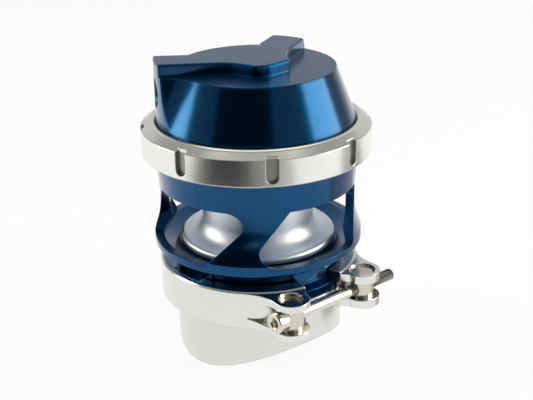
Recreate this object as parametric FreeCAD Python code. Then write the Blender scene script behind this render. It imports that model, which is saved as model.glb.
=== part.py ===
import FreeCAD, Part
import math
import os

os.makedirs("parts", exist_ok=True)

# Blow-off valve in millimetres. Z runs up the valve's axis and z = 0 is the crown of the charge pipe.
# The front of the valve faces -Y, and clock angles are counted from +X towards +Y.

V = FreeCAD.Vector
ORIGIN = V(0, 0, 0)
UP = V(0, 0, 1)

# Clock angles
clamp_angle = -50.0
window_angle = -49.25
notch_angle = -82.5
port_angle = -168.0

# Clearances
run_gap = 0.05
seat_gap = 0.02
cone_gap = 0.03
swing_gap = 0.25
head_gap = 0.01
edge = 0.3

# Charge pipe and weld flange
pipe_r = 50.8
throat_r = 24.8
spigot_bore_r = throat_r + 0.7
spigot_wall = 3.6
spigot_r = spigot_bore_r + spigot_wall
flange_face_z = 18.0
flange_lip = 3.2
flange_rim_r = spigot_r + flange_lip
flange_rim_h = 3.4
cone_slope = math.tan(math.radians(20.0))
register_r = spigot_bore_r + 1.1
register_h = 1.2
oring_r = 0.9
oring_mid_r = flange_rim_r - 3.4

# Valve and its seat
lift = 9.5
lip_r = throat_r + 2.15
lip_round = 1.35
lip_h = 2.8
flare_r = 5.5
valve_neck_r = lip_r - lip_round - flare_r - 0.9
seal_r = lip_r - 0.55
seal_h = 1.2
seal_w = 4.9
retainer_h = 2.0
shaft_r = 4.0

# Body: neck, rim, windows and shell
neck_r = spigot_r + 0.2
neck_relief = 0.7
neck_relief_deg = 55.0
rim_low_z = flange_face_z + 12.45
rim_h = 2.65
rim_top_z = rim_low_z + rim_h
seat_z = rim_top_z - lip_h
window_h = 18.8
window_half_w = 22.2
window_slant_w = 12.9
window_corner_r = 4.6
window_top_z = rim_top_z + window_h
funnel_foot_r = lip_r + 0.55
shell_bore_r = funnel_foot_r + 3.1
rim_inner_r = shell_bore_r + 2.4
shell_wall = 3.0
waist_r = shell_bore_r + shell_wall
rim_r = waist_r + 2.4
band_r = waist_r + 1.3
waist_low_z = rim_top_z + 12.9
waist_high_z = rim_top_z + 13.9

# Guide carrier, pressed in above the windows
carrier_step = 0.8
chamber_r = shell_bore_r + carrier_step
carrier_z = window_top_z + 0.8
web_t = 2.0
web_top_z = carrier_z + web_t
neck_foot_z = seat_z + lip_h + flare_r
hub_low_z = neck_foot_z + lift - 0.9
bush_t = 1.7
bush_seat_r = valve_neck_r + bush_t
hub_r = bush_seat_r + 2.1
vent_r = 1.5

# Plates and diaphragm
crown_z = web_top_z + 0.25
plate_t = 1.2
plate_inset = 7.4
plate_r = chamber_r - plate_inset
diaphragm_t = 1.0
stack_z = crown_z + plate_t
cup_z = stack_z + diaphragm_t
cup_floor_z = cup_z + 1.5
cup_rim_z = cup_floor_z + 3.95
washer_t = 1.2
washer_rim = 4.0
washer_r = shaft_r + washer_rim
nut_h = 5.0
nut_wall = 2.5
nut_across = 2 * (shaft_r + nut_wall)
bead_in_r = chamber_r + 0.6
bead_out_r = chamber_r + 2.8
bead_h = 1.6

# Collar and cap
thread_wall = 5.2
thread_r = chamber_r + thread_wall
collar_wall = 2.4
collar_r = thread_r + collar_wall
band_rise = 10.8
collar_low_z = window_top_z + band_rise
thread_rise = 4.8
body_top_z = collar_low_z + thread_rise
band_top_z = collar_low_z - 1.2
collar_lip_low_z = body_top_z + 3.1
collar_top_z = body_top_z + 4.4
collar_lip_z = collar_top_z + 2.4
notch_r = 2.0
notch_depth = 1.3
notch_foot_z = collar_low_z + 3.5
cap_flange_r = thread_r - 0.3
cap_r = cap_flange_r - 2.7
cap_cone_z = collar_lip_z + 0.1
cone_h = 17.15
disc_z = cap_cone_z + cone_h
cone_inset = 6.6
disc_r = cap_r - cone_inset
boss_h = 4.05
boss_reach = 27.0
boss_size = disc_r / boss_reach
boss_chamfer = 0.5
boss_z = disc_z + boss_h
cap_roof_z = disc_z - 3.25
cap_bore_r = plate_r - 0.6
cap_chamber_r = chamber_r - 1.2
port_z = cap_roof_z - 3.7
port_r = 4.3

# Springs
outer_wire_r = 1.3
outer_turns = 6
inner_wire_r = 1.0
inner_turns = 7
spring_inset = 5.1
outer_spring_r = plate_r - spring_inset
spring_offset = 1.2
inner_spring_r = (washer_r + outer_spring_r - outer_wire_r) / 2 - spring_offset

# V-band clamp
clamp_wall = 2.15
clamp_r = flange_rim_r + clamp_wall
clamp_lip_r = neck_r + 0.6
clamp_low_z = flange_face_z - 6.75
clamp_top_z = flange_face_z + 6.63
clamp_end_deg = 13.5
lug_out = 1.3
lug_d = clamp_r + lug_out
lug_t = 16.1
lug_r = 6.0
lug_fillet_r = 14.5
lug_top_z = clamp_top_z - 0.53
lug_pin_r = 4.0
rear_lug_low_z = clamp_low_z + 0.75
hinge_out = 3.85
hinge_d = clamp_r + hinge_out
hinge_r = 5.5
hinge_pin_r = 2.5
hinge_fillet_r = 8.0
hinge_end_deg = 2.5
tongue_low = flange_face_z - 3.15
tongue_high = flange_face_z + 2.95
fork_gap = 0.1
screw_z = flange_face_z - 0.4
screw_r = 2.0
screw_l = 50.0
head_r = 1.75 * screw_r
head_h = 2 * screw_r
socket_across = 1.5 * screw_r
head_seat = lug_pin_r - 0.5
slot_half_h = screw_r + 0.6


def half_section(points):
    """Closed face in the X-Z plane.

    A third entry marks the point that an arc passes through, or the pole that draws a flat curve.
    """
    edges = []
    count = len(points)
    i = 0
    while i < count:
        start = V(points[i][0], 0, points[i][1])
        after = points[(i + 1) % count]
        if len(after) == 3:
            end = V(points[(i + 2) % count][0], 0, points[(i + 2) % count][1])
            middle = V(after[0], 0, after[1])
            if after[2] == "arc":
                edges.append(Part.Arc(start, middle, end).toShape())
            else:
                curve = Part.BezierCurve()
                curve.setPoles([start, middle, end])
                edges.append(curve.toShape())
            i += 2
        else:
            edges.append(Part.makeLine(start, V(after[0], 0, after[1])))
            i += 1
    return Part.Face(Part.Wire(edges))


def turned(points):
    """Solid of revolution about the valve's axis."""
    return half_section(points).revolve(ORIGIN, UP, 360)


def arc_point(centre_r, centre_z, radius, degrees):
    angle = math.radians(degrees)
    return (centre_r + radius * math.cos(angle), centre_z + radius * math.sin(angle), "arc")


def ring(inner, outer, low, high):
    return turned([(inner, low), (outer, low), (outer, high), (inner, high)])


def post(radius, low, high, x=0.0, y=0.0):
    return Part.makeCylinder(radius, high - low, V(x, y, low), UP)


def slab(points, low, high):
    """Upright prism on a plan outline of straight lines."""
    corners = [V(x, y, low) for x, y in points]
    face = Part.Face(Part.makePolygon(corners + corners[:1]))
    return face.extrude(V(0, 0, high - low))


def clocked(shape, degrees):
    return shape.rotated(ORIGIN, UP, degrees)


def sector(low_deg, high_deg, reach, low, high):
    """Upright wedge about the valve's axis from one clock angle to another."""
    wedge = Part.makeCylinder(reach, high - low, V(0, 0, low), UP, high_deg - low_deg)
    return clocked(wedge, low_deg)


def torus(mid_r, section_r, z):
    return Part.makeTorus(mid_r, section_r, V(0, 0, z), UP)


def save(name, shape):
    if not shape.isValid():
        raise ValueError(name + " is not a valid solid")
    shape.exportStep("parts/" + name + ".step")
    box = shape.BoundBox
    print(name, len(shape.Solids), "solid(s)", round(shape.Volume), "mm3",
          "z", round(box.ZMin, 2), round(box.ZMax, 2))


def weld_flange():
    """Spigot coped to the charge pipe, with the lower half of the V-flange on top."""
    rim_low = flange_face_z - flange_rim_h
    cone_low = rim_low - (flange_rim_r - spigot_r) * cone_slope
    bottom = -pipe_r
    shape = turned([
        (spigot_bore_r, bottom), (spigot_r, bottom), (spigot_r, cone_low),
        (flange_rim_r, rim_low), (flange_rim_r, flange_face_z - edge), (flange_rim_r - edge, flange_face_z),
        (register_r + run_gap, flange_face_z), (register_r + run_gap, flange_face_z - register_h - 0.1),
        (spigot_bore_r, flange_face_z - register_h - 0.1)])
    groove_depth = 2 * oring_r + seat_gap
    groove = ring(oring_mid_r - oring_r - 0.1, oring_mid_r + oring_r + 0.1,
                  flange_face_z - groove_depth, flange_face_z + 1)
    reach = 2 * spigot_r
    pipe = Part.makeCylinder(pipe_r, 2 * reach, V(-reach, 0, -pipe_r), V(1, 0, 0))
    return shape.cut(groove).cut(clocked(pipe, clamp_angle))


def body_shell():
    """Outer wall from the V-flange to the thread, before the windows."""
    rim_z = flange_face_z + flange_rim_h
    cone_top = rim_z + (flange_rim_r - neck_r) * cone_slope
    neck_round = 1.8
    flare_low = rim_top_z + 1.3
    return turned([
        (throat_r, flange_face_z - register_h), (register_r, flange_face_z - register_h),
        (register_r, flange_face_z), (flange_rim_r - edge, flange_face_z), (flange_rim_r, flange_face_z + edge),
        (flange_rim_r, rim_z), (neck_r, cone_top), (neck_r, rim_low_z - neck_round),
        arc_point(neck_r + neck_round, rim_low_z - neck_round, neck_round, 135),
        (neck_r + neck_round, rim_low_z),
        (rim_r - 0.6, rim_low_z), (rim_r, rim_low_z + 0.6), (rim_r, flare_low),
        (waist_r, (flare_low + waist_low_z) / 2, "pole"), (waist_r, waist_low_z), (waist_r, waist_high_z),
        (waist_r, (waist_high_z + band_top_z) / 2, "pole"), (band_r, band_top_z),
        (band_r - 0.5, band_top_z + 0.5), (band_r - 0.5, collar_low_z + 0.4), (thread_r, collar_low_z + 1.6),
        (thread_r, body_top_z - 0.6), (thread_r - 0.6, body_top_z),
        (bead_out_r, body_top_z), (bead_out_r, body_top_z - bead_h), (bead_in_r, body_top_z - bead_h),
        (bead_in_r, body_top_z - 0.95), (chamber_r, body_top_z - 0.95),
        (chamber_r, carrier_z), (shell_bore_r, carrier_z), (shell_bore_r, rim_top_z + 3.4),
        (rim_inner_r, rim_top_z), (funnel_foot_r, seat_z), (throat_r, seat_z)])


def window():
    """Slanted discharge window, cut straight in from outside."""
    low = rim_top_z
    high = window_top_z
    r = window_corner_r
    mid_w = window_half_w - r
    slope = math.atan2(window_h - r, mid_w + r * 0.78 - window_slant_w)
    corner_z = high - r
    tangent = (math.sin(slope), -math.cos(slope))
    sweep = math.radians(45) + (math.atan2(tangent[1], tangent[0]) - math.radians(45)) / 2
    mid = (math.cos(sweep), math.sin(sweep))

    def at(w, z):
        return V(valve_neck_r + 0.8, w, z)

    centre_low = low + r
    upper_end = at(mid_w + r * tangent[0], corner_z + r * tangent[1])
    lower_end = at(-mid_w - r * tangent[0], centre_low - r * tangent[1])
    edges = [
        Part.makeLine(at(-window_slant_w, high), at(mid_w, high)),
        Part.Arc(at(mid_w, high), at(mid_w + r * mid[0], corner_z + r * mid[1]), upper_end).toShape(),
        Part.makeLine(upper_end, at(window_slant_w, low)),
        Part.makeLine(at(window_slant_w, low), at(-mid_w, low)),
        Part.Arc(at(-mid_w, low), at(-mid_w - r * mid[0], centre_low - r * mid[1]), lower_end).toShape(),
        Part.makeLine(lower_end, at(-window_slant_w, high))]
    return Part.Face(Part.Wire(edges)).extrude(V(rim_r, 0, 0))


def body():
    """Shell with four windows and milled neck reliefs between them."""
    shape = body_shell()
    for k in range(4):
        shape = shape.cut(clocked(window(), window_angle + 90 * k))
    for k in range(4):
        middle = window_angle + 45 + 90 * k
        band = ring(neck_r - neck_relief, neck_r + 1.0, flange_face_z + 6.0, rim_low_z - 1.6)
        wedge = sector(middle - neck_relief_deg / 2, middle + neck_relief_deg / 2,
                       rim_r, flange_face_z, rim_low_z)
        shape = shape.cut(band.common(wedge))
    return shape


def guide_carrier():
    """Web and hub that hold the bush, seated on the step above the windows."""
    shape = turned([
        (valve_neck_r + 0.4, hub_low_z), (hub_r - 1, hub_low_z), (hub_r, hub_low_z + 1), (hub_r, carrier_z),
        (chamber_r - seat_gap, carrier_z), (chamber_r - seat_gap, web_top_z - edge),
        (chamber_r - seat_gap - edge, web_top_z), (bush_seat_r, web_top_z),
        (bush_seat_r, hub_low_z + 0.8), (valve_neck_r + 0.4, hub_low_z + 0.8)])
    vent_mid = (hub_r + shell_bore_r) / 2
    for k in range(4):
        vent = post(vent_r, carrier_z - 1, web_top_z + 1, vent_mid, 0)
        shape = shape.cut(clocked(vent, window_angle + 90 * k))
    return shape


def guide_bush():
    """Plain bush in the hub with a groove for the neck seal."""
    groove_mid = web_top_z - 2.0
    return turned([
        (valve_neck_r + run_gap, hub_low_z + 0.8), (bush_seat_r - seat_gap, hub_low_z + 0.8),
        (bush_seat_r - seat_gap, web_top_z - 0.1), (valve_neck_r + run_gap, web_top_z - 0.1),
        (valve_neck_r + run_gap, groove_mid + 0.6), (bush_seat_r - 0.58, groove_mid + 0.6),
        (bush_seat_r - 0.58, groove_mid - 0.6), (valve_neck_r + run_gap, groove_mid - 0.6)])


def neck_seal():
    return torus(valve_neck_r + run_gap + 0.5, 0.5, web_top_z - 2.0)


recess_r = valve_neck_r - 2.2
core_r = valve_neck_r - 2.6


def valve():
    """Hollow trumpet valve: straight neck, concave flare and rounded lip over the seat seal."""
    lip_top = seat_z + lip_h
    seal_top = seat_z + seal_h
    return turned([
        (shaft_r + run_gap, crown_z), (valve_neck_r - 0.5, crown_z), (valve_neck_r, crown_z - 0.5),
        (valve_neck_r, neck_foot_z),
        arc_point(valve_neck_r + flare_r, neck_foot_z, flare_r, 225), (valve_neck_r + flare_r, lip_top),
        (lip_r - lip_round, lip_top),
        arc_point(lip_r - lip_round, lip_top - lip_round, lip_round, 45), (lip_r, lip_top - lip_round),
        (lip_r, seat_z + 0.8), (lip_r - edge, seat_z + 0.45), (seal_r + run_gap, seat_z + 0.45),
        (seal_r + run_gap, seal_top), (recess_r, seal_top), (recess_r, seal_top + 1.5),
        (recess_r - 2.5, seal_top + 1.5), (recess_r - 2.5, neck_foot_z - 2.6), (core_r, neck_foot_z - 0.1),
        (core_r, crown_z - 3.5), (core_r - 1.0, crown_z - 2.5), (shaft_r + run_gap, crown_z - 2.5)])


def valve_seal():
    return ring(seal_r - seal_w, seal_r, seat_z + seat_gap, seat_z + seal_h)


def seal_retainer():
    """Face plate that holds the seat seal and locates in the valve's recess."""
    low = seat_z - retainer_h
    top = seat_z + seal_h
    face_r = seal_r - seal_w - 0.1
    return turned([
        (shaft_r + run_gap, low), (throat_r - 1.3, low), (throat_r - 0.3, low + 1.0),
        (throat_r - 0.3, seat_z - 0.1), (throat_r - 1.2, seat_z), (face_r, seat_z),
        (face_r, top - seat_gap), (recess_r - 0.1, top - seat_gap),
        (recess_r - 0.1, top + 1.45), (shaft_r + run_gap, top + 1.45)])


def lower_plate():
    return turned([
        (shaft_r + run_gap, crown_z), (plate_r - 1.0, crown_z), (plate_r, crown_z + 0.5), (plate_r, stack_z),
        (shaft_r + run_gap, stack_z)])


def diaphragm():
    """Top-hat diaphragm: flat between the plates, a steep roll and a bead under the cap."""
    t = diaphragm_t
    top = body_top_z
    bend = 2.2
    foot_r = plate_r + 0.8
    roll_r = chamber_r - 2.1
    return turned([
        (shaft_r + run_gap, stack_z), (foot_r, stack_z),
        arc_point(foot_r, stack_z + bend, bend, -45), (foot_r + bend, stack_z + bend),
        (roll_r, top - 2.4),
        (chamber_r - 0.4, top - 0.9), (bead_in_r + 0.1, top - 0.9), (bead_in_r + 0.1, top - bead_h + 0.05),
        (bead_out_r - 0.1, top - bead_h + 0.05), (bead_out_r - 0.1, top), (chamber_r - 1.1, top),
        (roll_r - t, top - 2.0),
        (foot_r + bend - t, stack_z + bend),
        arc_point(foot_r, stack_z + bend, bend - t, -45), (foot_r, stack_z + t),
        (shaft_r + run_gap, stack_z + t)])


def upper_plate():
    """Cup that backs the diaphragm and carries the springs."""
    rim = plate_r + 0.2
    return turned([
        (shaft_r + run_gap, cup_z), (rim - 1.0, cup_z), (rim, cup_z + 1.0), (rim, cup_rim_z),
        (rim - 1.3, cup_rim_z), (rim - 1.3, cup_floor_z + 0.5), (rim - 1.8, cup_floor_z),
        (shaft_r + run_gap, cup_floor_z)])


def hexagon(across, low, high):
    """Hexagonal prism on the valve's axis."""
    reach = across / math.cos(math.radians(30)) / 2
    corners = []
    for k in range(6):
        angle = math.radians(60 * k)
        corners.append((reach * math.cos(angle), reach * math.sin(angle)))
    return slab(corners, low, high)


def shaft_washer():
    return ring(shaft_r + run_gap, washer_r, cup_floor_z, cup_floor_z + washer_t)


def shaft_nut():
    low = cup_floor_z + washer_t
    corner_r = nut_across / 2 + 1.0
    cone = turned([(0, low), (corner_r - 1.1, low), (corner_r, low + 1.1), (corner_r, low + nut_h - 1.1),
                   (corner_r - 1.1, low + nut_h), (0, low + nut_h)])
    return hexagon(nut_across, low, low + nut_h).common(cone).cut(post(shaft_r + 0.02, low - 1, low + nut_h + 1))


def valve_shaft():
    """Through bolt with a flat round head and a driving hexagon socket."""
    head_high = seat_z - retainer_h
    head_low = head_high - 2.6
    flat_r = shaft_r + 3.0
    top = cup_floor_z + washer_t + nut_h + 2.0
    shape = turned([
        (0, head_low), (flat_r - 0.7, head_low), (flat_r, head_low + 0.7), (flat_r, head_high),
        (shaft_r, head_high),
        (shaft_r, top - 0.6), (shaft_r - 0.6, top), (0, top)])
    return shape.cut(hexagon(shaft_r + 1.0, head_low - 1, head_low + 1.8))


def coil(mean_r, wire_r, turns):
    """Compression spring with a closed coil and a ground face at each end."""
    low = cup_floor_z + seat_gap
    high = cap_roof_z - seat_gap
    closed = 2 * wire_r
    pitch = (high - low - 2 * closed) / (turns - 2)
    steps = 8
    points = []
    z = low
    for i in range(turns * steps + 1):
        angle = 2 * math.pi * i / steps
        points.append(V(mean_r * math.cos(angle), mean_r * math.sin(angle), z))
        at_end = i < steps or i >= (turns - 1) * steps
        z += (closed if at_end else pitch) / steps
    curve = Part.BSplineCurve()
    curve.interpolate(points)
    path = Part.Wire(curve.toShape())
    section = Part.Wire(Part.makeCircle(wire_r, points[0], V(0, 1, closed / (2 * math.pi * mean_r))))
    wire = path.makePipeShell([section], True, True)
    return wire.common(ring(mean_r - 2 * wire_r, mean_r + 2 * wire_r, low, high))


def outer_spring():
    return coil(outer_spring_r, outer_wire_r, outer_turns)


def inner_spring():
    return coil(inner_spring_r, inner_wire_r, inner_turns)


def flange_oring():
    return torus(oring_mid_r, oring_r, flange_face_z - oring_r - seat_gap / 2)


def collar():
    """Locking collar with a rounded lip over the cap's flange and eight spanner notches."""
    shape = turned([
        (thread_r + run_gap, collar_low_z), (collar_r - 0.6, collar_low_z), (collar_r, collar_low_z + 0.6),
        (collar_r, collar_top_z), (collar_r - 2.6, collar_lip_z - 0.55),
        arc_point(collar_r - 3.9, collar_lip_z - 2.4, 2.4, 75), (collar_r - 4.4, collar_lip_z),
        (cap_r + 0.35, collar_lip_z - 0.35), (cap_r + 0.15, collar_lip_z - 0.8),
        (cap_r + 0.15, collar_lip_low_z), (thread_r + run_gap, collar_lip_low_z)])
    for k in range(8):
        start = V(collar_r - notch_depth, 0, notch_foot_z)
        slot = Part.makeCylinder(notch_r, 2 * notch_depth, start, V(1, 0, 0))
        above = collar_lip_z - notch_foot_z + 1
        slot = slot.fuse(Part.makeBox(2 * notch_depth, 2 * notch_r, above, start - V(0, notch_r, 0)))
        shape = shape.cut(clocked(slot, notch_angle + 45 * k))
    return shape


def boss_outline(z):
    """Two-armed boss on the cap's disc, as one closed wire."""
    def at(x, y):
        return V(x * boss_size, y * boss_size, z)

    left_near = at(-40, -13.9)
    near_bend = at(-11.0, -11.8)
    tip_start = at(10.4, -9.9)
    tip_end = at(11.2, -7.2)
    right_start = at(12.2, 6.3)
    right_out = at(21.4, 32.2)
    far_out = at(9.9, 34.6)
    far_in = at(1.4, 12.7)
    left_in = at(-11.5, -0.4)
    left_far = at(-40, -1.9)
    bend = Part.BSplineCurve()
    bend.interpolate([near_bend, at(-5.2, -13.4), at(1.6, -16.5), at(7.6, -12.9), tip_start])
    waist = Part.BSplineCurve()
    waist.interpolate([tip_end, at(10.8, 0.8), right_start])
    edges = [
        Part.makeLine(left_near, near_bend), bend.toShape(),
        Part.Arc(tip_start, at(11.3, -8.8), tip_end).toShape(), waist.toShape(),
        Part.makeLine(right_start, right_out), Part.makeLine(right_out, far_out),
        Part.makeLine(far_out, far_in), Part.Arc(far_in, at(-3.4, 2.1), left_in).toShape(),
        Part.makeLine(left_in, left_far), Part.makeLine(left_far, left_near)]
    return Part.Wire(edges)


def cone_r(z):
    return cap_r - (cap_r - disc_r) * (z - cap_cone_z) / (disc_z - cap_cone_z)


def arm_plan(z, blend):
    """Plan of the cone with the port arm run out of it through a wide concave blend."""
    r = cone_r(z)
    near = -14.3 * boss_size
    far = -0.6 * boss_size
    near_c = V(-math.sqrt((r + blend) ** 2 - (blend - near) ** 2), near - blend, z)
    far_c = V(-math.sqrt((r + blend) ** 2 - (blend + far) ** 2), far + blend, z)
    foot_near = V(near_c.x, near, z)
    foot_far = V(far_c.x, far, z)

    def on_cone(centre):
        return V(centre.x * r / (r + blend), centre.y * r / (r + blend), z)

    def arc_mid(centre, a, b):
        middle = (a + b) * 0.5
        away = middle - V(centre.x, centre.y, z)
        away.normalize()
        return V(centre.x, centre.y, z) + away * blend

    a = on_cone(near_c)
    b = on_cone(far_c)
    out_near = V(-2 * cap_r, near, z)
    out_far = V(-2 * cap_r, far, z)
    edges = [
        Part.Arc(a, V(r, 0, z), b).toShape(),
        Part.Arc(b, arc_mid(far_c, b, foot_far), foot_far).toShape(),
        Part.makeLine(foot_far, out_far), Part.makeLine(out_far, out_near), Part.makeLine(out_near, foot_near),
        Part.Arc(foot_near, arc_mid(near_c, foot_near, a), a).toShape()]
    return Part.Wire(edges)


def level_edges(shape, z):
    """Edges that lie flat at one height."""
    return [e for e in shape.Edges if abs(e.BoundBox.ZMin - z) < 0.001 and abs(e.BoundBox.ZMax - z) < 0.001]


def cap():
    """Cone with a flat disc, a two-armed boss, a port arm out to the rim and the spring chamber inside."""
    drum = post(cap_r, cap_cone_z, boss_z)
    blend = 20.0 * boss_size
    skirt = Part.makeLoft([arm_plan(cap_cone_z, blend), arm_plan(disc_z, blend)], True, True)
    shape = skirt.common(drum)
    foot_z = disc_z - 1.0
    boss = Part.Face(boss_outline(foot_z)).extrude(V(0, 0, boss_z - foot_z))
    foot_r = cone_r(foot_z) - run_gap
    top_r = cone_r(boss_z) - seat_gap
    cone_side = Part.makeCone(foot_r, top_r, boss_z - foot_z, V(0, 0, foot_z), UP)
    left_half = Part.makeBox(2 * cap_r, 4 * cap_r, boss_z, V(-2 * cap_r - disc_r * 0.45, -2 * cap_r, 0))
    boss = boss.common(cone_side.fuse(drum.common(left_half)))
    shape = shape.fuse(boss)
    base = turned([
        (0, body_top_z + seat_gap), (cap_flange_r - 0.4, body_top_z + seat_gap),
        (cap_flange_r, body_top_z + 0.42), (cap_flange_r, collar_lip_low_z - run_gap),
        (cap_r - 0.1, collar_lip_low_z - run_gap), (cap_r - 0.1, collar_lip_z - 0.6),
        (cap_r - 0.5, collar_lip_z - 0.3), (cap_r, cap_cone_z), (0, cap_cone_z)])
    shape = shape.fuse(base).removeSplitter()
    stop_z = cup_rim_z + lift + 0.1
    outer_in = outer_spring_r - outer_wire_r - 0.6
    inner_out = inner_spring_r + inner_wire_r + 0.4
    inner_in = inner_spring_r - inner_wire_r - 0.4
    chamber = turned([
        (0, body_top_z - 1), (cap_chamber_r, body_top_z - 1), (cap_chamber_r, stop_z - 1.5),
        (cap_chamber_r - 1.5, stop_z), (cap_bore_r, stop_z), (cap_bore_r, cap_roof_z - 1.5),
        (cap_bore_r - 1.5, cap_roof_z), (outer_in, cap_roof_z), (outer_in - 0.4, cap_roof_z - 1.2),
        (inner_out + 0.4, cap_roof_z - 1.2), (inner_out, cap_roof_z), (inner_in, cap_roof_z),
        (inner_in - 0.6, cap_roof_z - 2.0), (0, cap_roof_z - 2.0)])
    shape = shape.cut(chamber)
    way = V(math.cos(math.radians(port_angle)), math.sin(math.radians(port_angle)), 0)
    inner = way * (cap_bore_r - 1.0)
    port = Part.makeCylinder(port_r, cap_r, V(inner.x, inner.y, port_z), way)
    mouth = way * (cap_r - 1.1)
    sink = Part.makeCone(port_r, port_r + 1.5, 1.5, V(mouth.x, mouth.y, port_z), way)
    shape = shape.cut(port).cut(sink)
    return shape.makeChamfer(boss_chamfer, level_edges(shape, boss_z))


def clamp_section(low_deg, high_deg):
    """Part of the clamp's band, still without its groove."""
    band = turned([
        (clamp_lip_r - 2, clamp_low_z), (clamp_r - 0.4, clamp_low_z), (clamp_r, clamp_low_z + 0.4),
        (clamp_r, clamp_top_z - 0.5), (clamp_r - 0.5, clamp_top_z), (clamp_lip_r - 2, clamp_top_z)])
    return band.common(sector(low_deg, high_deg, 2 * clamp_r, clamp_low_z - 1, clamp_top_z + 1))


def clamp_groove():
    """Space inside the clamp: the V-groove and the lips' bore."""
    rim_z = flange_face_z + flange_rim_h
    low_z = flange_face_z - flange_rim_h
    inner_rise = (flange_rim_r - clamp_lip_r) * cone_slope + cone_gap
    groove_r = flange_rim_r + 0.3
    outer_fall = (groove_r - flange_rim_r) * cone_slope - cone_gap
    return turned([
        (0, clamp_low_z - 1), (clamp_lip_r, clamp_low_z - 1), (clamp_lip_r, low_z - inner_rise),
        (groove_r, low_z + outer_fall), (groove_r, rim_z - outer_fall),
        (clamp_lip_r, rim_z + inner_rise), (clamp_lip_r, clamp_top_z + 1), (0, clamp_top_z + 1)])


def lug_plan(d, t, radius, fillet, side, low, high):
    """Round ear at (d, t) with a concave fillet out of the band on its far side."""
    reach = math.hypot(d, t)
    far = clamp_r + fillet
    near = radius + fillet
    turn = math.acos((reach ** 2 + far ** 2 - near ** 2) / (2 * reach * far))
    angle = math.atan2(t, d) + side * turn
    centre = (far * math.cos(angle), far * math.sin(angle))
    web = slab([(0, 0), (d, t), centre], low, high)
    web = web.cut(post(fillet, low - 1, high + 1, centre[0], centre[1]))
    return post(radius, low, high, d, t).fuse(web)


def closing_lug(side, gap_low, gap_high, low):
    """Ears beside the clamp's opening, with the cutter's run-out between them."""
    t = side * lug_t
    shape = lug_plan(lug_d, t, lug_r, lug_fillet_r, side, low, lug_top_z)
    end = math.radians(clamp_end_deg)
    towards = math.atan2(lug_t, lug_d)
    root = clamp_lip_r + 1.1
    inner = slab([
        (root * math.cos(end), side * root * math.sin(end)),
        (clamp_r * math.cos(end), side * clamp_r * math.sin(end)),
        (lug_d + 0.4, t - side * lug_r), (lug_d, t),
        (root * math.cos(towards), side * root * math.sin(towards))], low, lug_top_z)
    shape = shape.fuse(inner)
    run_out = half_section([
        (0, gap_low), (lug_r + 2.6, gap_low), (lug_r + 9.0, gap_low + 1.4), (lug_r + 1.4, gap_high), (0, gap_high)])
    run_out = run_out.revolve(ORIGIN, UP, 360)
    run_out.translate(V(lug_d, t, 0))
    run_out = run_out.cut(post(clamp_r - 0.35, low - 1, lug_top_z + 1))
    bore = post(lug_pin_r + run_gap, low - 1, lug_top_z + 1, lug_d, t)
    sink = Part.makeCone(lug_pin_r + run_gap, lug_pin_r + run_gap + 0.9, 0.9, V(lug_d, t, lug_top_z - 0.45), UP)
    return shape, run_out.fuse(bore).fuse(sink)


def hinge_lug(side, low, high):
    return lug_plan(-hinge_d, 0, hinge_r, hinge_fillet_r, -side, low, high)


def screw_slot():
    start = V(lug_d - slot_half_h - 0.25, -lug_t, screw_z - slot_half_h)
    return Part.makeBox(2 * lug_r, 2 * lug_t, 2 * slot_half_h, start)


def clamp_front():
    """Half of the V-band over the front: recessed pin ears and the hinge's fork."""
    gap_low = screw_z - 4.0
    gap_high = screw_z + 4.0
    shape = clamp_section(180 + hinge_end_deg, 360 - clamp_end_deg)
    ears, space = closing_lug(-1, gap_low, gap_high, clamp_low_z)
    shape = shape.fuse(ears)
    for low, high in ((tongue_high + fork_gap, lug_top_z), (clamp_low_z, tongue_low - fork_gap)):
        shape = shape.fuse(hinge_lug(-1, low, high))
    shape = shape.cut(clamp_groove()).cut(space).cut(screw_slot())
    shape = shape.cut(post(hinge_r + swing_gap, tongue_low - fork_gap, tongue_high + fork_gap, -hinge_d, 0))
    shape = shape.cut(post(hinge_pin_r + head_gap, clamp_low_z - 1, clamp_top_z + 1, -hinge_d, 0))
    shape = clocked(shape, clamp_angle)
    floor_z = flange_face_z + 4
    notch = ring(clamp_lip_r - 1.9, clamp_lip_r + 2.5, floor_z, clamp_top_z + 1)
    notch = notch.common(sector(-153, -128, clamp_r, floor_z, clamp_top_z + 1))
    for degrees in (-151.2, -129.8):
        angle = math.radians(degrees)
        r = clamp_lip_r + 1.5
        notch = notch.fuse(post(1.2, floor_z, clamp_top_z + 1, r * math.cos(angle), r * math.sin(angle)))
    return shape.cut(notch)


def clamp_rear():
    """Half of the V-band over the back: ears for the barrel nut and the hinge's tongue."""
    gap_low = screw_z - 2.7
    gap_high = screw_z + 3.4
    shape = clamp_section(clamp_end_deg, 180 - hinge_end_deg)
    ears, space = closing_lug(1, gap_low, gap_high, rear_lug_low_z)
    shape = shape.fuse(ears).fuse(hinge_lug(1, tongue_low, tongue_high))
    shape = shape.cut(clamp_groove()).cut(space).cut(screw_slot())
    for low, high in ((tongue_high, lug_top_z + 2), (clamp_low_z - 1, tongue_low)):
        shape = shape.cut(post(hinge_r + swing_gap, low, high, -hinge_d, 0))
    shape = shape.cut(post(hinge_pin_r + run_gap, clamp_low_z - 1, clamp_top_z + 1, -hinge_d, 0))
    return clocked(shape, clamp_angle)


def chamfered_pin(radius, low, high, chamfer, d, t):
    pin = turned([
        (0, low), (radius - chamfer, low), (radius, low + chamfer), (radius, high - chamfer),
        (radius - chamfer, high), (0, high)])
    pin.translate(V(d, t, 0))
    return pin


def hinge_pin():
    return clocked(chamfered_pin(hinge_pin_r, clamp_low_z, lug_top_z + 0.3, 0.4, -hinge_d, 0), clamp_angle)


def cross_bore(radius, t_low, t_high):
    return Part.makeCylinder(radius, t_high - t_low, V(lug_d, t_low, screw_z), V(0, 1, 0))


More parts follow.
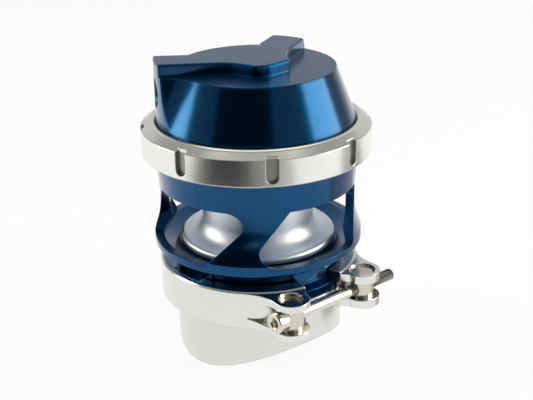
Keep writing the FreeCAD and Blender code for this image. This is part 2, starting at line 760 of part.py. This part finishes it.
def barrel_pin():
    """Pin under the screw's head: a cross bore and a flat for the head to bear on."""
    pin = chamfered_pin(lug_pin_r, clamp_low_z + 0.65, lug_top_z - 1.6, 0.4, lug_d, -lug_t)
    flat = cross_bore(head_r + 0.2, -lug_t - 2 * lug_pin_r, -lug_t - head_seat)
    return clocked(pin.cut(cross_bore(screw_r + 0.1, -lug_t - lug_r, 0)).cut(flat), clamp_angle)


def barrel_nut():
    pin = chamfered_pin(lug_pin_r, rear_lug_low_z + 0.5, lug_top_z - 0.8, 0.4, lug_d, lug_t)
    return clocked(pin.cut(cross_bore(screw_r + run_gap, 0, lug_t + lug_r)), clamp_angle)


def clamp_screw():
    """Socket head cap screw that draws the two barrel pins together."""
    face = -lug_t - head_seat - head_gap
    profile = [
        (0, -head_h), (head_r - 0.3, -head_h), (head_r, -head_h + 0.3), (head_r, 0), (screw_r, 0),
        (screw_r, screw_l - 0.6), (screw_r - 0.6, screw_l), (0, screw_l)]
    mouth = Part.makeCone(socket_across * 0.58 + 0.25, socket_across * 0.58 - 0.25, 0.5, V(0, 0, -head_h), UP)
    shape = turned(profile).cut(hexagon(socket_across, -head_h - 1, -head_h / 2)).cut(mouth)
    shape = shape.rotated(ORIGIN, V(1, 0, 0), -90)
    shape.translate(V(lug_d, face, screw_z))
    return clocked(shape, clamp_angle)


save("weld_flange", weld_flange())
save("body", body())
save("guide_carrier", guide_carrier())
save("guide_bush", guide_bush())
save("neck_seal", neck_seal())
save("valve", valve())
save("valve_seal", valve_seal())
save("seal_retainer", seal_retainer())
save("lower_plate", lower_plate())
save("diaphragm", diaphragm())
save("upper_plate", upper_plate())
save("shaft_washer", shaft_washer())
save("shaft_nut", shaft_nut())
save("valve_shaft", valve_shaft())
save("outer_spring", outer_spring())
save("inner_spring", inner_spring())
save("flange_oring", flange_oring())
save("locking_collar", collar())
save("cap", cap())
save("clamp_front", clamp_front())
save("clamp_rear", clamp_rear())
save("hinge_pin", hinge_pin())
save("barrel_pin", barrel_pin())
save("barrel_nut", barrel_nut())
save("clamp_screw", clamp_screw())
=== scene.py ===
import math

import bpy
from mathutils import Matrix, Vector


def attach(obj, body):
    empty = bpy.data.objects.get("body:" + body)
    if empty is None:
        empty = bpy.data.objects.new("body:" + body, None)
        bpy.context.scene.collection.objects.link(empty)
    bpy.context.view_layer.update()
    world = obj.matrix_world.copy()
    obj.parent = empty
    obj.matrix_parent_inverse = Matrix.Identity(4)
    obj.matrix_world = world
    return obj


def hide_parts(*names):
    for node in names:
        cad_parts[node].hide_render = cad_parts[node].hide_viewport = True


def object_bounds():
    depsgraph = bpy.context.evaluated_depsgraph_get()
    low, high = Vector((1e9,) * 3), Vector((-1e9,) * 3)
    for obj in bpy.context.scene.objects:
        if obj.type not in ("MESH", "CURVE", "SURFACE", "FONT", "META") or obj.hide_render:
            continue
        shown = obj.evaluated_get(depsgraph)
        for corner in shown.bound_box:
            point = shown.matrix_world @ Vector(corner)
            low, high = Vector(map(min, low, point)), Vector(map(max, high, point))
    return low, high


bl_info = {
    "name": "Blow-off valve",
    "version": (1, 0, 0),
    "blender": (4, 5, 0),
    "location": "3D View > Sidebar > Valve",
    "description": "Finishes the valve's pieces and sets up a small photo studio round it",
    "category": "Object",
}

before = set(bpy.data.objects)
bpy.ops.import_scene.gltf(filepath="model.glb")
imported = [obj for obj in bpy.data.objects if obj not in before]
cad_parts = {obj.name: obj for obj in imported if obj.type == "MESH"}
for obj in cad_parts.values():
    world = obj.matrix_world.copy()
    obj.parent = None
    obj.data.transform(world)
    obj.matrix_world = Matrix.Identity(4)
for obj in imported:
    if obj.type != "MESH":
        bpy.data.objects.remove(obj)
CAD_BOX = [list(corner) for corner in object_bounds()]

MICRON = 0.000001

# Pieces that share a finish
VALVE_NODES = ["valve", "seal_retainer", "lower_plate", "upper_plate", "guide_carrier"]
CLAMP_NODES = ["clamp_front", "clamp_rear"]
FASTENER_NODES = [
    "hinge_pin", "barrel_pin", "barrel_nut", "valve_shaft", "shaft_nut", "shaft_washer"]
SPRING_NODES = ["outer_spring", "inner_spring"]
SEAL_NODES = ["valve_seal", "flange_oring", "neck_seal"]

# Radius that edges look broken by, and how finely the shader looks for edges
FINE_EDGE = 0.0002
SOFT_EDGE = 0.0004
ANODISED_EDGES = {"cap": 0.0014, "body": 0.0005}
EDGE_SAMPLES = 6

# Brightness of the two pieces that are turned from bare aluminium
TURNED_SHARES = {"locking_collar": 1.0, "weld_flange": 0.87}

# Share of a point's height that is added to its radius, so tool marks show on walls and tops alike
MARK_SLOPE = 1.37

# A face whose normal rises by more than this share is a flat top
FLAT_TOP = 0.97

# Collar notches: heights of their foot and top, and a radius between their floor and the rim
NOTCH_FOOT = 0.0605
NOTCH_TOP = 0.0720
NOTCH_RADIUS = 0.0386

# Pairs of tones of the small inner pieces
SPRING_TONES = ((0.30, 0.30, 0.32, 1.0), (0.22, 0.22, 0.23, 1.0))
RUBBER_TONES = ((0.018, 0.018, 0.018, 1.0), (0.035, 0.035, 0.034, 1.0))
SILICONE_TONES = ((0.42, 0.06, 0.04, 1.0), (0.30, 0.045, 0.03, 1.0))
BRONZE_TONES = ((0.55, 0.36, 0.15, 1.0), (0.35, 0.21, 0.09, 1.0))

# Thread of the clamp screw: its fineness, and how far the ridge's foot is widened to fill the pitch
CORE_SIDES = 48
THREAD_STEPS = 24
RIDGE_STRETCH = 1.38
SMOOTH_ANGLE = math.radians(35)

# Studio: floor cards lie just over the floor, the darker ones on top where two overlap
WHITE = (1.0, 1.0, 1.0, 1.0)
FLOOR_GREY = (0.8, 0.8, 0.8, 1.0)
FLOOR_Z = CAD_BOX[0][2]
LOW_CARD_Z = FLOOR_Z + 0.0008
CARD_Z = FLOOR_Z + 0.001
LAMP_AIM = Vector((0, 0, 0.05))
SENSOR_WIDTH = 36.0


class Value:
    """One socket of a tree, which plain arithmetic can use."""

    def __init__(self, tree, socket):
        self.tree = tree
        self.socket = socket

    def __add__(self, other):
        return self.tree.maths("ADD", self, other)

    def __radd__(self, other):
        return self.tree.maths("ADD", other, self)

    def __sub__(self, other):
        return self.tree.maths("SUBTRACT", self, other)

    def __rsub__(self, other):
        return self.tree.maths("SUBTRACT", other, self)

    def __mul__(self, other):
        return self.tree.maths("MULTIPLY", self, other)

    def __rmul__(self, other):
        return self.tree.maths("MULTIPLY", other, self)

    def __pow__(self, other):
        return self.tree.maths("POWER", self, other)

    def __rpow__(self, other):
        return self.tree.maths("POWER", other, self)


class Tree:
    """Node tree of a material or a world, built up node by node."""

    def __init__(self, owner):
        owner.use_nodes = True
        self.owner = owner
        self.nodes = owner.node_tree.nodes
        self.links = owner.node_tree.links
        self.nodes.clear()

    def node(self, kind, settings=None, inputs=None):
        """Adds a node, sets it up, fills its sockets and returns its outputs by name."""
        made = self.nodes.new(kind)
        for key, setting in (settings or {}).items():
            setattr(made, key, setting)
        for key, value in (inputs or {}).items():
            if isinstance(value, Value):
                self.links.new(value.socket, made.inputs[key])
            else:
                made.inputs[key].default_value = value
        return {socket.identifier: Value(self, socket) for socket in made.outputs}

    def maths(self, operation, a, b):
        return self.node("ShaderNodeMath", {"operation": operation}, {0: a, 1: b})["Value"]

    def mix(self, factor, a, b):
        """Colour between two colours."""
        made = self.node("ShaderNodeMix", {"data_type": "RGBA"}, {0: factor, 6: a, 7: b})
        return made["Result_Color"]

    def position(self):
        """Where a point of the piece is."""
        return self.node("ShaderNodeTexCoord")["Object"]

    def parts(self, vector):
        """The three parts of a vector."""
        split = self.node("ShaderNodeSeparateXYZ", {}, {"Vector": vector})
        return split["X"], split["Y"], split["Z"]

    def radius_and_height(self, position):
        """Distance of a point from the valve's axis, and its height."""
        x, y, z = self.parts(position)
        return (x * x + y * y) ** 0.5, z

    def noise(self, where, scale, detail=3.0):
        return self.node("ShaderNodeTexNoise", {}, {
            "Vector": where, "Scale": scale, "Detail": detail})["Fac"]

    def marks(self, radius, height, scale):
        """Uneven bands round the axis, as a turning tool leaves them."""
        return self.node("ShaderNodeTexNoise", {"noise_dimensions": "1D"}, {
            "W": radius + height * MARK_SLOPE, "Scale": scale, "Roughness": 0.6})["Fac"]

    def bump(self, height, distance, edge=FINE_EDGE):
        """Fine relief on top of edges that look broken by a small radius."""
        broken = self.node("ShaderNodeBevel", {"samples": EDGE_SAMPLES}, {"Radius": edge})["Normal"]
        return self.node("ShaderNodeBump", {}, {
            "Height": height, "Distance": distance, "Normal": broken})["Normal"]

    def seen(self):
        """1 for rays from the camera and rays that metal sent on, otherwise 0."""
        rays = self.node("ShaderNodeLightPath")
        sent_on = self.maths("MAXIMUM", rays["Is Glossy Ray"], rays["Is Transmission Ray"])
        return self.maths("MAXIMUM", rays["Is Camera Ray"], sent_on)

    def glow(self, strength):
        """White light of the surface's own."""
        return self.node("ShaderNodeEmission", {}, {
            "Color": WHITE, "Strength": strength})["Emission"]

    def surface(self, shader):
        self.node("ShaderNodeOutputMaterial", {}, {"Surface": shader})
        return self.owner

    def principled(self, inputs):
        return self.surface(self.node("ShaderNodeBsdfPrincipled", {}, inputs)["BSDF"])


def material_tree(name):
    return Tree(bpy.data.materials.new(name))


def tone(colour, share):
    """A share of a colour's brightness, with its alpha."""
    return (colour[0] * share, colour[1] * share, colour[2] * share, 1.0)


def speckled(name, tones, scale, roughness, spread, relief, detail=3.0, metallic=1.0):
    """Material whose tone, roughness and relief follow one fine noise."""
    tree = material_tree(name)
    specks = tree.noise(tree.position(), scale, detail)
    return tree.principled({
        "Base Color": tree.mix(specks, *tones),
        "Metallic": metallic,
        "Roughness": specks * spread + roughness,
        "Normal": tree.bump(specks, relief)})


class ValveColours(bpy.types.PropertyGroup):
    """Colours of the valve's finishes."""

    anodised: bpy.props.FloatVectorProperty(
        name="Anodised blue", description="Dyed aluminium of the body and cap",
        size=3, subtype="COLOR", min=0.0, max=1.0, default=(0.0006, 0.065, 0.180))
    aluminium: bpy.props.FloatVectorProperty(
        name="Aluminium", description="Bare turned aluminium",
        size=3, subtype="COLOR", min=0.0, max=1.0, default=(0.88, 0.90, 0.85))
    satin: bpy.props.FloatVectorProperty(
        name="Satin aluminium", description="Valve and the plates behind it",
        size=3, subtype="COLOR", min=0.0, max=1.0, default=(0.82, 0.90, 0.98))
    clamp: bpy.props.FloatVectorProperty(
        name="Clamp metal", description="Tumbled and polished clamp halves",
        size=3, subtype="COLOR", min=0.0, max=1.0, default=(0.80, 0.81, 0.78))
    stainless: bpy.props.FloatVectorProperty(
        name="Stainless", description="Pins, nut and screw",
        size=3, subtype="COLOR", min=0.0, max=1.0, default=(0.70, 0.66, 0.58))


class ClampScrew(bpy.types.PropertyGroup):
    """Thread of the clamp's screw."""

    start: bpy.props.FloatProperty(
        name="Smooth shank", description="From under the head to the first thread",
        default=0.0290, min=0.0, unit="LENGTH")
    length: bpy.props.FloatProperty(
        name="Length", description="From under the head to the tip",
        default=0.0500, min=0.0, unit="LENGTH")
    crest: bpy.props.FloatProperty(
        name="Crest radius", description="Radius over the thread",
        default=0.0020, min=0.0, unit="LENGTH")
    depth: bpy.props.FloatProperty(
        name="Thread depth", description="From crest to root",
        default=0.00041, min=0.0, unit="LENGTH")
    pitch: bpy.props.FloatProperty(
        name="Pitch", description="Rise of the thread in one turn",
        default=0.0007, min=0.0001, unit="LENGTH")
    head: bpy.props.FloatVectorProperty(
        name="Head face", description="Middle of the face under the head",
        size=3, subtype="TRANSLATION", unit="LENGTH", default=(0.007958, -0.039991, 0.0176))
    heading: bpy.props.FloatProperty(
        name="Heading", description="Clock angle that the screw points to",
        default=math.radians(40.0), subtype="ANGLE")


class ValveStudio(bpy.types.PropertyGroup):
    """Camera, lamps and floor."""

    lens: bpy.props.FloatProperty(
        name="Lens", description="Focal length on a 36 mm sensor",
        default=71.29, min=10.0, unit="CAMERA")
    camera_place: bpy.props.FloatVectorProperty(
        name="Camera place", description="Where the camera stands",
        size=3, subtype="TRANSLATION", unit="LENGTH", default=(0.00310, -0.34002, 0.18382))
    camera_pitch: bpy.props.FloatProperty(
        name="Camera pitch", description="How far the camera looks down",
        default=math.radians(22.496), subtype="ANGLE")
    camera_roll: bpy.props.FloatProperty(
        name="Camera roll", description="Turn about the line of sight",
        default=math.radians(-0.9385), subtype="ANGLE")
    lamp_colour: bpy.props.FloatVectorProperty(
        name="Lamp colour", description="Warm white of the soft boxes",
        size=3, subtype="COLOR", min=0.0, max=1.0, default=(1.0, 0.91, 0.76))
    floor_size: bpy.props.FloatProperty(
        name="Floor size", description="Side of the square floor", default=2.4, unit="LENGTH")
    floor_glow: bpy.props.FloatProperty(
        name="Floor glow", description="Strength of the floor's own white", default=1.02, min=0.0)
    floor_share: bpy.props.FloatProperty(
        name="Floor share", description="Share of the floor's own white where it is seen",
        default=0.9, min=0.0, max=1.0)
    world_light: bpy.props.FloatProperty(
        name="World light", description="Strength of the world on the valve",
        default=0.3, min=0.0)
    world_white: bpy.props.FloatProperty(
        name="World white", description="What the world gains where the camera sees it",
        default=0.65, min=0.0)


def deselect_all():
    bpy.ops.object.select_all(action="DESELECT")


def select_only(piece):
    deselect_all()
    piece.select_set(True)
    bpy.context.view_layer.objects.active = piece


def give(nodes, material):
    """Puts one material on every slot of the frame nodes."""
    for node in nodes:
        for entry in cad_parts[node].material_slots:
            entry.material = material


class VALVE_OT_anodised(bpy.types.Operator):
    """Blue anodised aluminium on the body and the cap"""

    bl_idname = "valve.anodised"
    bl_label = "Anodised body and cap"

    def execute(self, context):
        blue = context.scene.valve_colours.anodised
        for node, edge in ANODISED_EDGES.items():
            tree = material_tree("anodised_" + node)
            position = tree.position()
            radius, height = tree.radius_and_height(position)
            marks = tree.marks(radius, height, scale=2600.0)
            cloud = tree.noise(position, scale=60.0)
            # Flat tops are a little rougher than the turned walls
            facing = tree.node("ShaderNodeNewGeometry")["True Normal"]
            rise = tree.parts(facing)[2]
            top = tree.maths("GREATER_THAN", rise, FLAT_TOP)
            give([node], tree.principled({
                "Base Color": tree.mix(cloud, tone(blue, 1.12), tone(blue, 0.88)),
                "Metallic": 1.0,
                "Roughness": marks * 0.04 + top * 0.24 + 0.19,
                "Normal": tree.bump(marks, 0.7 * MICRON, edge),
                "Coat Weight": 0.7,
                "Coat IOR": 1.32,
                "Coat Roughness": 0.13}))
        return {"FINISHED"}


class VALVE_OT_aluminium(bpy.types.Operator):
    """Bare aluminium on the collar, spigot, valve and plates"""

    bl_idname = "valve.aluminium"
    bl_label = "Turned and satin aluminium"

    def execute(self, context):
        colours = context.scene.valve_colours
        bare = colours.aluminium
        for node, share in TURNED_SHARES.items():
            tree = material_tree("turned_" + node)
            position = tree.position()
            radius, height = tree.radius_and_height(position)
            marks = tree.marks(radius, height, scale=2200.0)
            fine = tree.marks(radius, height, scale=9000.0)
            cloud = tree.noise(position, scale=45.0)
            # Notch floors of the collar: rougher, as a milling cutter leaves them, and with painted
            # shade that darkens their colour
            above = tree.maths("GREATER_THAN", height, NOTCH_FOOT)
            below = tree.maths("LESS_THAN", height, NOTCH_TOP)
            notch_shade_and_dull = above * below * tree.maths("LESS_THAN", radius, NOTCH_RADIUS)
            turned = tree.mix(
                cloud * 0.4 + fine * 0.6, tone(bare, share), tone(bare, share * 0.92))
            give([node], tree.principled({
                # Painted shade: the recessed notch floors are darkened to 0.42 of the bare colour
                "Base Color": tree.mix(notch_shade_and_dull, turned, tone(bare, 0.42)),
                "Metallic": 1.0,
                "Roughness": marks * 0.06 + notch_shade_and_dull * 0.15 + 0.22,
                "Normal": tree.bump(marks, 0.8 * MICRON, SOFT_EDGE)}))

        satin = colours.satin
        tree = material_tree("satin_aluminium")
        position = tree.position()
        marks = tree.marks(*tree.radius_and_height(position), scale=1800.0)
        cloud = tree.noise(position, scale=45.0)
        give(VALVE_NODES, tree.principled({
            "Base Color": tree.mix(cloud, tone(satin, 1.0), tone(satin, 0.92)),
            "Metallic": 1.0,
            "Roughness": marks * 0.08 + 0.42,
            "Normal": tree.bump(marks, 3 * MICRON)}))
        return {"FINISHED"}


class VALVE_OT_clamp(bpy.types.Operator):
    """Polished clamp halves, pins and springs"""

    bl_idname = "valve.clamp"
    bl_label = "Clamp, pins and springs"

    def execute(self, context):
        colours = context.scene.valve_colours
        tree = material_tree("tumbled_clamp")
        position = tree.position()
        waves = tree.noise(position, scale=220.0, detail=2.0)
        specks = tree.noise(position, scale=2400.0, detail=2.0)
        give(CLAMP_NODES, tree.principled({
            "Base Color": tree.mix(specks, tone(colours.clamp, 1.0), tone(colours.clamp, 0.93)),
            "Metallic": 1.0,
            "Roughness": specks * 0.08 + 0.15,
            "Normal": tree.bump(waves, 10 * MICRON, SOFT_EDGE)}))

        steel = (tone(colours.stainless, 1.0), tone(colours.stainless, 0.92))
        give(FASTENER_NODES, speckled(
            "stainless_fasteners", steel,
            scale=1800.0, roughness=0.2, spread=0.06, relief=1 * MICRON))
        give(SPRING_NODES, speckled(
            "spring_wire", SPRING_TONES,
            scale=900.0, roughness=0.3, spread=0.1, relief=6 * MICRON))
        return {"FINISHED"}


def screw_shank(screw, stand):
    """Copy of the plain screw, cut off where its thread starts."""
    shank = bpy.data.objects.new("threaded_screw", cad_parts["clamp_screw"].data.copy())
    bpy.context.scene.collection.objects.link(shank)
    select_only(shank)
    bpy.ops.object.mode_set(mode="EDIT")
    bpy.ops.mesh.select_all(action="SELECT")
    bpy.ops.mesh.remove_doubles(threshold=MICRON)
    bpy.ops.mesh.bisect(
        plane_co=stand @ Vector((0, 0, screw.start)),
        plane_no=stand.to_3x3() @ Vector((0, 0, 1)),
        use_fill=True, clear_outer=True)
    bpy.ops.object.mode_set(mode="OBJECT")
    return shank


def screw_core(screw, threaded):
    """Rod under the thread, upright, with bevelled ends."""
    deselect_all()
    bpy.ops.mesh.primitive_cylinder_add(
        vertices=CORE_SIDES, radius=screw.crest - screw.depth, depth=threaded,
        location=(0, 0, screw.start + threaded / 2))
    core = bpy.context.object
    core.name = "screw_core"
    bpy.ops.object.transform_apply()
    bevel = core.modifiers.new("tip", "BEVEL")
    bevel.width = screw.depth
    bevel.segments = 2
    bpy.ops.object.modifier_apply(modifier="tip")
    return core


def screw_ridge(screw, threaded):
    """Ridge of the thread, upright: a triangle, as high as the thread is deep, wound along Z."""
    reach = screw.depth * 2 / 3
    deselect_all()
    bpy.ops.mesh.primitive_circle_add(
        vertices=3, radius=reach,
        location=(screw.crest - reach, 0, screw.start + screw.pitch / 2),
        rotation=(math.radians(90), math.radians(90), 0))
    ridge = bpy.context.object
    ridge.name = "screw_ridge"
    ridge.scale = (RIDGE_STRETCH, 1.0, 1.0)
    bpy.ops.object.transform_apply()
    wind = ridge.modifiers.new("thread", "SCREW")
    wind.axis = "Z"
    wind.screw_offset = screw.pitch
    wind.iterations = int(threaded / screw.pitch) - 1
    wind.steps = THREAD_STEPS
    wind.render_steps = THREAD_STEPS
    bpy.ops.object.modifier_apply(modifier="thread")
    bpy.ops.object.mode_set(mode="EDIT")
    bpy.ops.mesh.select_all(action="SELECT")
    bpy.ops.mesh.fill_holes(sides=3)
    bpy.ops.mesh.normals_make_consistent(inside=False)
    bpy.ops.object.mode_set(mode="OBJECT")
    return ridge


def screw_steel(screw, colour):
    """Bright head and shank, and a duller rolled thread."""
    tree = material_tree("screw_steel")
    position = tree.position()
    x, y = tree.parts(position)[:2]
    along_x = (x - screw.head[0]) * math.cos(screw.heading)
    along_y = (y - screw.head[1]) * math.sin(screw.heading)
    rolled = tree.maths("GREATER_THAN", along_x + along_y, screw.start)
    specks = tree.noise(position, scale=1800.0)
    bright = tree.mix(specks, tone(colour, 1.1), tone(colour, 0.95))
    dull = tree.mix(specks, tone(colour, 0.55), tone(colour, 0.4))
    return tree.principled({
        "Base Color": tree.mix(rolled, bright, dull),
        "Metallic": 1.0,
        "Roughness": rolled * 0.2 + specks * 0.06 + 0.17,
        "Normal": tree.bump(specks, 1 * MICRON)})


class VALVE_OT_screw(bpy.types.Operator):
    """Clamp screw with its rolled thread, in place of the plain one"""

    bl_idname = "valve.screw"
    bl_label = "Threaded screw"

    def execute(self, context):
        screw = context.scene.valve_screw
        lie = Matrix.Rotation(screw.heading, 4, "Z") @ Matrix.Rotation(math.radians(90), 4, "Y")
        stand = Matrix.Translation(screw.head) @ lie
        threaded = screw.length - screw.start

        shank = screw_shank(screw, stand)
        core = screw_core(screw, threaded)
        ridge = screw_ridge(screw, threaded)
        for piece in (core, ridge):
            select_only(piece)
            piece.matrix_world = stand
            bpy.ops.object.transform_apply()
        select_only(shank)
        core.select_set(True)
        ridge.select_set(True)
        bpy.ops.object.join()
        bpy.ops.mesh.customdata_custom_splitnormals_clear()
        bpy.ops.object.shade_smooth_by_angle(angle=SMOOTH_ANGLE)

        shank.data.materials.clear()
        shank.data.materials.append(screw_steel(screw, context.scene.valve_colours.stainless))
        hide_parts("clamp_screw")
        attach(shank, "screw")
        return {"FINISHED"}


class VALVE_OT_soft_parts(bpy.types.Operator):
    """Seals, diaphragm and bush"""

    bl_idname = "valve.soft_parts"
    bl_label = "Seals, diaphragm and bush"

    def execute(self, context):
        give(SEAL_NODES, speckled(
            "seal_rubber", RUBBER_TONES,
            scale=1500.0, roughness=0.5, spread=0.15, relief=10 * MICRON, metallic=0.0))
        give(["diaphragm"], speckled(
            "diaphragm_silicone", SILICONE_TONES, detail=2.0,
            scale=1200.0, roughness=0.45, spread=0.15, relief=20 * MICRON, metallic=0.0))
        give(["guide_bush"], speckled(
            "sintered_bronze", BRONZE_TONES,
            scale=2500.0, roughness=0.32, spread=0.2, relief=10 * MICRON))
        return {"FINISHED"}


def lamp(name, place, size, power):
    """Soft box that faces the valve."""
    light = bpy.data.lights.new(name, "AREA")
    light.shape = "RECTANGLE"
    light.size, light.size_y = size
    light.energy = power
    light.color = bpy.context.scene.valve_studio.lamp_colour
    piece = bpy.data.objects.new(name, light)
    bpy.context.scene.collection.objects.link(piece)
    piece.location = place
    piece.rotation_euler = (Vector(place) - LAMP_AIM).to_track_quat("Z", "Y").to_euler()


def card(name, place, size, strength, tilt=0.0, turn=0.0):
    """Card, from black to grey, that only metal sees. Its tilt and turn are in degrees."""
    deselect_all()
    bpy.ops.mesh.primitive_plane_add(size=1.0)
    piece = bpy.context.object
    piece.name = name
    piece.scale = (*size, 1.0)
    piece.rotation_euler = (math.radians(tilt), 0, math.radians(turn))
    piece.location = place
    piece.visible_camera = False
    piece.visible_diffuse = False
    piece.visible_shadow = False
    tree = material_tree(name)
    piece.data.materials.append(tree.surface(tree.glow(strength)))


def white_floor(studio):
    """Square floor: mostly its own white where it is seen, with some of the valve's shadow."""
    deselect_all()
    bpy.ops.mesh.primitive_plane_add(size=studio.floor_size, location=(0, 0, FLOOR_Z))
    floor = bpy.context.object
    floor.name = "studio_floor"
    tree = material_tree("white_floor")
    lit = tree.node("ShaderNodeBsdfDiffuse", {}, {"Color": FLOOR_GREY})["BSDF"]
    both = tree.node("ShaderNodeMixShader", {}, {
        0: tree.seen() * studio.floor_share, 1: lit, 2: tree.glow(studio.floor_glow)})["Shader"]
    floor.data.materials.append(tree.surface(both))


def white_world(studio):
    """Even light from all round, and white where the camera sees it."""
    world = bpy.data.worlds.new("studio_world")
    tree = Tree(world)
    rays = tree.node("ShaderNodeLightPath")
    strength = rays["Is Camera Ray"] * studio.world_white + studio.world_light
    sky = tree.node("ShaderNodeBackground", {}, {
        "Color": WHITE, "Strength": strength})["Background"]
    tree.node("ShaderNodeOutputWorld", {}, {"Surface": sky})
    return world


def photo_camera(studio):
    """Camera that stands and looks as the photograph's did."""
    data = bpy.data.cameras.new("photo_camera")
    data.lens = studio.lens
    data.sensor_width = SENSOR_WIDTH
    data.clip_start = 0.01
    data.clip_end = 20.0
    camera = bpy.data.objects.new("photo_camera", data)
    bpy.context.scene.collection.objects.link(camera)
    tilt = Matrix.Rotation(math.pi / 2 - studio.camera_pitch, 4, "X")
    roll = Matrix.Rotation(studio.camera_roll, 4, "Z")
    camera.matrix_world = Matrix.Translation(studio.camera_place) @ tilt @ roll
    return camera


class VALVE_OT_studio(bpy.types.Operator):
    """Floor, cards, soft boxes, world and camera"""

    bl_idname = "valve.studio"
    bl_label = "Studio"

    def execute(self, context):
        scene = context.scene
        studio = scene.valve_studio
        white_floor(studio)

        # The collar's dark and dim zones, and the shade under the rims, are these cards
        card("dark_front", (-0.26, -0.62, 0.40), size=(0.98, 0.90), strength=0.04, tilt=90)
        card("dark_floor", (-0.170, -0.334, CARD_Z), size=(0.25, 0.45), strength=0.02, turn=-27)
        card("dim_floor", (0.075, -0.300, LOW_CARD_Z), size=(0.15, 0.28), strength=0.35, turn=14)
        card("grey_floor", (0.245, 0.040, CARD_Z), size=(0.13, 0.12), strength=0.25)
        card("side_floor", (0.112, 0.050, LOW_CARD_Z), size=(0.13, 0.13), strength=0.55)
        card("backdrop", (0.0, 0.80, 0.50), size=(1.6, 1.1), strength=0.60, tilt=90)

        lamp("left_box", (-0.60, 0.055, 0.20), size=(0.23, 0.55), power=1.8)
        lamp("right_box", (0.60, -0.03, 0.20), size=(0.44, 0.55), power=3.5)
        lamp("top_box", (0.0, 0.25, 0.75), size=(0.60, 0.45), power=1.0)

        scene.world = white_world(studio)
        scene.camera = photo_camera(studio)
        scene.view_settings.view_transform = "Standard"
        return {"FINISHED"}


OPERATORS = [
    VALVE_OT_anodised, VALVE_OT_aluminium, VALVE_OT_clamp, VALVE_OT_screw, VALVE_OT_soft_parts,
    VALVE_OT_studio]


class VALVE_PT_panel(bpy.types.Panel):
    """Lists the valve's settings and steps"""

    bl_label = "Blow-off valve"
    bl_idname = "VALVE_PT_panel"
    bl_space_type = "VIEW_3D"
    bl_region_type = "UI"
    bl_category = "Valve"

    def draw(self, context):
        scene = context.scene
        for group in (scene.valve_colours, scene.valve_screw, scene.valve_studio):
            box = self.layout.box()
            for name in group.__annotations__:
                box.prop(group, name)
        for operator in OPERATORS:
            self.layout.operator(operator.bl_idname)


CLASSES = [ValveColours, ClampScrew, ValveStudio, *OPERATORS, VALVE_PT_panel]


def register():
    for item in CLASSES:
        bpy.utils.register_class(item)
    bpy.types.Scene.valve_colours = bpy.props.PointerProperty(type=ValveColours)
    bpy.types.Scene.valve_screw = bpy.props.PointerProperty(type=ClampScrew)
    bpy.types.Scene.valve_studio = bpy.props.PointerProperty(type=ValveStudio)


def unregister():
    del bpy.types.Scene.valve_studio
    del bpy.types.Scene.valve_screw
    del bpy.types.Scene.valve_colours
    for item in reversed(CLASSES):
        bpy.utils.unregister_class(item)


def main():
    register()
    bpy.ops.valve.anodised()
    bpy.ops.valve.aluminium()
    bpy.ops.valve.clamp()
    bpy.ops.valve.screw()
    bpy.ops.valve.soft_parts()
    bpy.ops.valve.studio()


if __name__ == "__main__":
    main()
